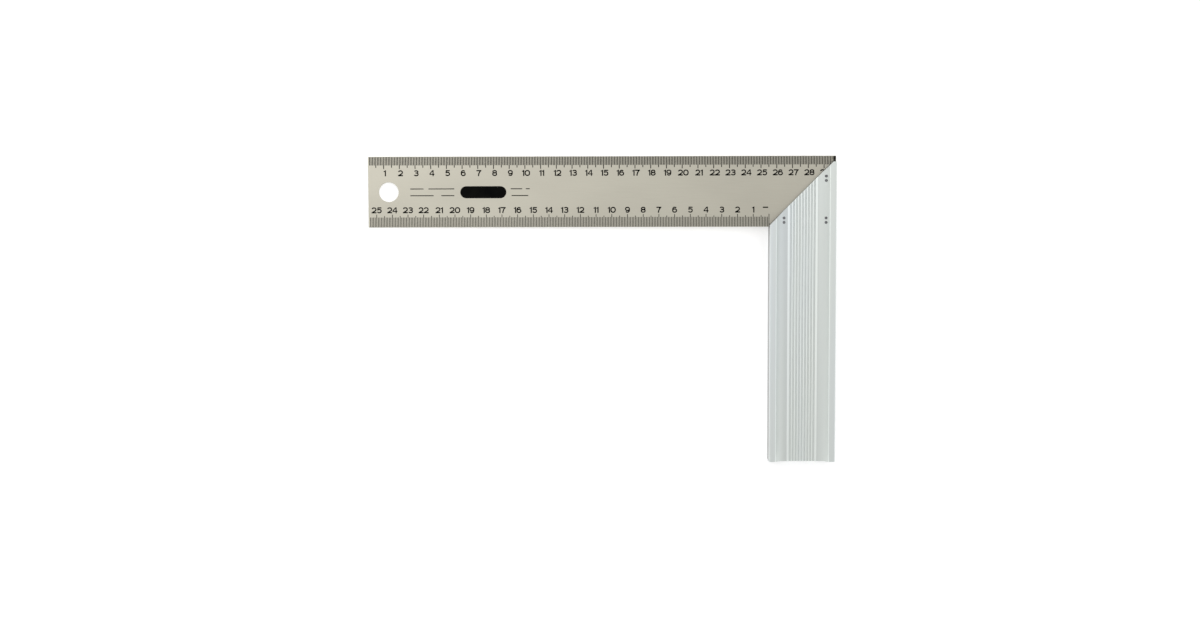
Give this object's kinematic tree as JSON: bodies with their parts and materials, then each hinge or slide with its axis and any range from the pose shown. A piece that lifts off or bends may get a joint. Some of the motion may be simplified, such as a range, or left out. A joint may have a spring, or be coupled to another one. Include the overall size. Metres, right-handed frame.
{
  "type": "try square",
  "caption": "Carpenter's try square: a thin graduated steel blade pinned at right angles in the mitred end of a reeded aluminium stock, with a hole to hang it by.",
  "frame": {"origin": "the inside corner of the square, where the stock's inner face meets the blade's inner edge, in the middle of the blade's thickness", "axes": "+X across the stock to its outer face (the blade's free end points to -X), +Y across the blade to its outer edge (the stock's foot points to -Y), +Z out of the graduated front"},
  "size_m": [0.2976, 0.1952, 0.016],
  "materials": {
    "blade_steel": "satin stainless steel",
    "stock_aluminium": "satin, as extruded and clear anodised",
    "pin_steel": "dull, as cut",
    "etch_fill": "matt black fill of the etched scales"
  },
  "bodies": {
    "root": {"blade": "blade_steel", "stock": "stock_aluminium", "inner_pin_upper": "pin_steel", "inner_pin_lower": "pin_steel", "outer_pin_upper": "pin_steel", "outer_pin_lower": "pin_steel", "tip_pin_upper": "pin_steel", "tip_pin_lower": "pin_steel"}
  },
  "joints": []
}
